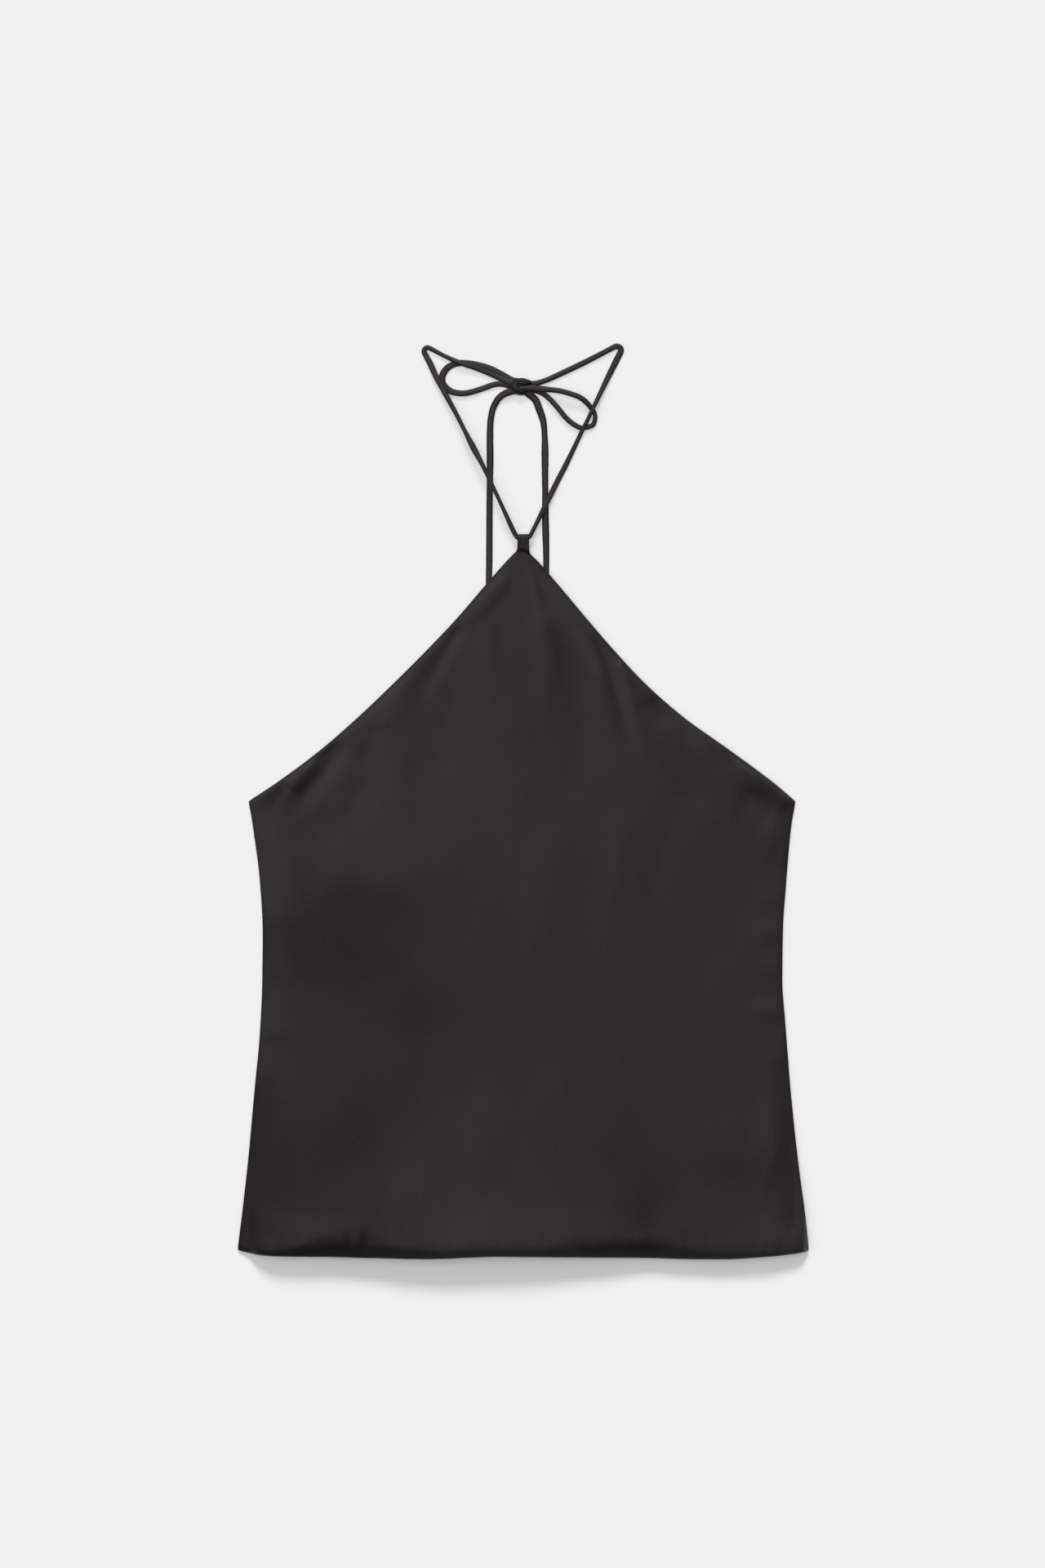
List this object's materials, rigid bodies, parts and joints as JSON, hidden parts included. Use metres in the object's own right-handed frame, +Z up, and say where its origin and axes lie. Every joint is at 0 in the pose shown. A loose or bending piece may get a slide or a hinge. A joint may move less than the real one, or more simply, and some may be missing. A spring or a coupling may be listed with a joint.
{
  "type": "halter neck top",
  "caption": "Black satin halter neck top laid flat, front up: pointed front, strap loop and a thin rouleau tie knotted in a bow.",
  "frame": {"origin": "on the surface the garment lies on, under the middle of the body measured from the strap loop's fold to the hem and between the hem's corners", "axes": "+Y up the garment to the neck, +X to its right as seen from above, +Z up off the surface, out of the front"},
  "size_m": [0.461, 0.7404, 0.015],
  "materials": {
    "front_satin": "soft black satin, fine weave",
    "back_satin": "soft black satin, fine weave",
    "loop_satin": "black satin strip, turned edges",
    "tie_satin": "black satin rouleau"
  },
  "bodies": {
    "root": {"front_panel": "front_satin", "back_panel": "back_satin", "strap_loop": "loop_satin", "tie_left_run": "tie_satin", "tie_left_loop": "tie_satin", "tie_left_tail": "tie_satin", "tie_right_run": "tie_satin", "tie_right_loop": "tie_satin", "tie_right_tail": "tie_satin", "bow_knot": "tie_satin"}
  },
  "joints": []
}
